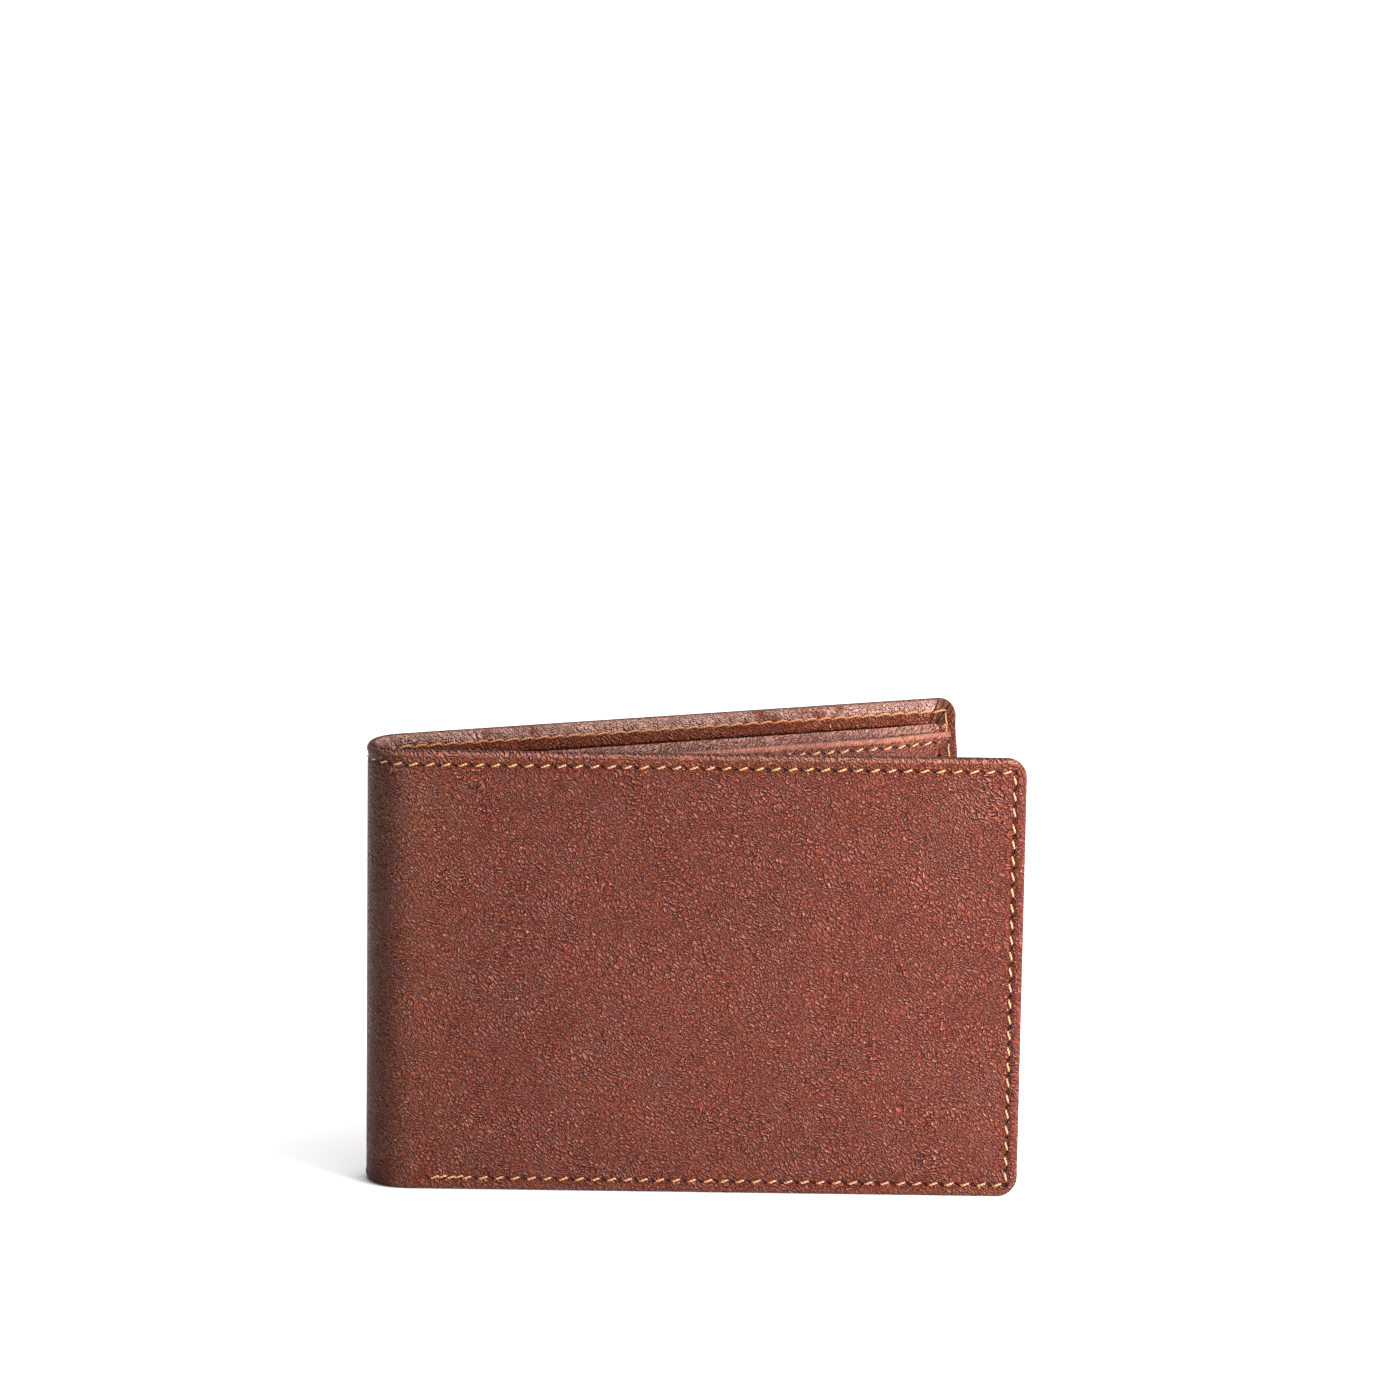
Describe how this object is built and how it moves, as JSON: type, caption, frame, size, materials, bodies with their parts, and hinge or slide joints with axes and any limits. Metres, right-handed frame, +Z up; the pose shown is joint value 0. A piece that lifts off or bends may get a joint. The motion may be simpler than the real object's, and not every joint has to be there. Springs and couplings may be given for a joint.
{
  "type": "bifold wallet",
  "caption": "Slim leather bifold wallet standing half open on its long edge, with turned and sewn edges, a note compartment and stepped card slots in both halves.",
  "frame": {"origin": "middle of the footprint, on the surface that the wallet stands on", "axes": "+X from the fold to the fore edge along the front cover, +Y from the front cover towards the back cover, +Z up"},
  "size_m": [0.1146, 0.0552, 0.0782],
  "materials": {
    "cover_leather": "satin, fine pebbled grain, chestnut brown",
    "turned_leather": "satin, pared thin and turned over the edge",
    "pocket_leather": "satin, fine grain",
    "divider_cloth": "matt coated cloth, grey brown",
    "lining_cloth": "matt twill, brown",
    "waxed_thread": "waxed thread, tan"
  },
  "bodies": {
    "front": {"front_cover": "cover_leather", "front_top_hem": "turned_leather", "front_fore_hem": "turned_leather", "front_lower_hem": "turned_leather", "front_cover_lining": "lining_cloth", "front_note_divider": "divider_cloth", "front_panel_backing": "lining_cloth", "front_panel_top_strip": "pocket_leather", "front_panel_liner": "lining_cloth", "front_card_slot_1": "pocket_leather", "front_card_slot_1_liner": "lining_cloth", "front_card_slot_2": "pocket_leather", "front_card_slot_2_liner": "lining_cloth", "front_card_pocket": "pocket_leather", "front_outer_thread": "waxed_thread", "front_top_inner_thread": "waxed_thread", "front_lip_thread": "waxed_thread", "front_pocket_thread": "waxed_thread"},
    "fold_1": {"fold_leather_1": "cover_leather", "fold_top_hem_1": "turned_leather", "fold_lining_1": "lining_cloth", "fold_divider_1": "divider_cloth", "fold_thread_1": "waxed_thread"},
    "fold_2": {"fold_leather_2": "cover_leather", "fold_top_hem_2": "turned_leather", "fold_lining_2": "lining_cloth", "fold_divider_2": "divider_cloth", "fold_thread_2": "waxed_thread"},
    "fold_3": {"fold_leather_3": "cover_leather", "fold_top_hem_3": "turned_leather", "fold_lining_3": "lining_cloth", "fold_divider_3": "divider_cloth", "fold_thread_3": "waxed_thread"},
    "back": {"back_cover": "cover_leather", "back_top_hem": "turned_leather", "back_fore_hem": "turned_leather", "back_lower_hem": "turned_leather", "back_cover_lining": "lining_cloth", "back_note_divider": "divider_cloth", "back_panel_backing": "lining_cloth", "back_panel_top_strip": "pocket_leather", "back_panel_liner": "lining_cloth", "back_card_slot_1": "pocket_leather", "back_card_slot_1_liner": "lining_cloth", "back_card_slot_2": "pocket_leather", "back_card_slot_2_liner": "lining_cloth", "back_card_pocket": "pocket_leather", "back_outer_thread": "waxed_thread", "back_top_inner_thread": "waxed_thread", "back_lip_thread": "waxed_thread", "back_pocket_thread": "waxed_thread"}
  },
  "joints": [
    {"name": "fold_hinge_1", "type": "hinge", "parent": "front", "child": "fold_1", "pos_m": [-0.05154, -0.02733, 0], "axis": [0, 0, 1], "range_deg": [-5.4, 39.5]},
    {"name": "fold_hinge_2", "type": "hinge", "parent": "fold_1", "child": "fold_2", "pos_m": [-0.05598, -0.02367, 0], "axis": [0, 0, 1], "range_deg": [-5.4, 39.5]},
    {"name": "fold_hinge_3", "type": "hinge", "parent": "fold_2", "child": "fold_3", "pos_m": [-0.05707, -0.01803, 0], "axis": [0, 0, 1], "range_deg": [-5.4, 39.5]},
    {"name": "fold_hinge_4", "type": "hinge", "parent": "fold_3", "child": "back", "pos_m": [-0.05432, -0.01298, 0], "axis": [0, 0, 1], "range_deg": [-5.4, 39.5]}
  ]
}
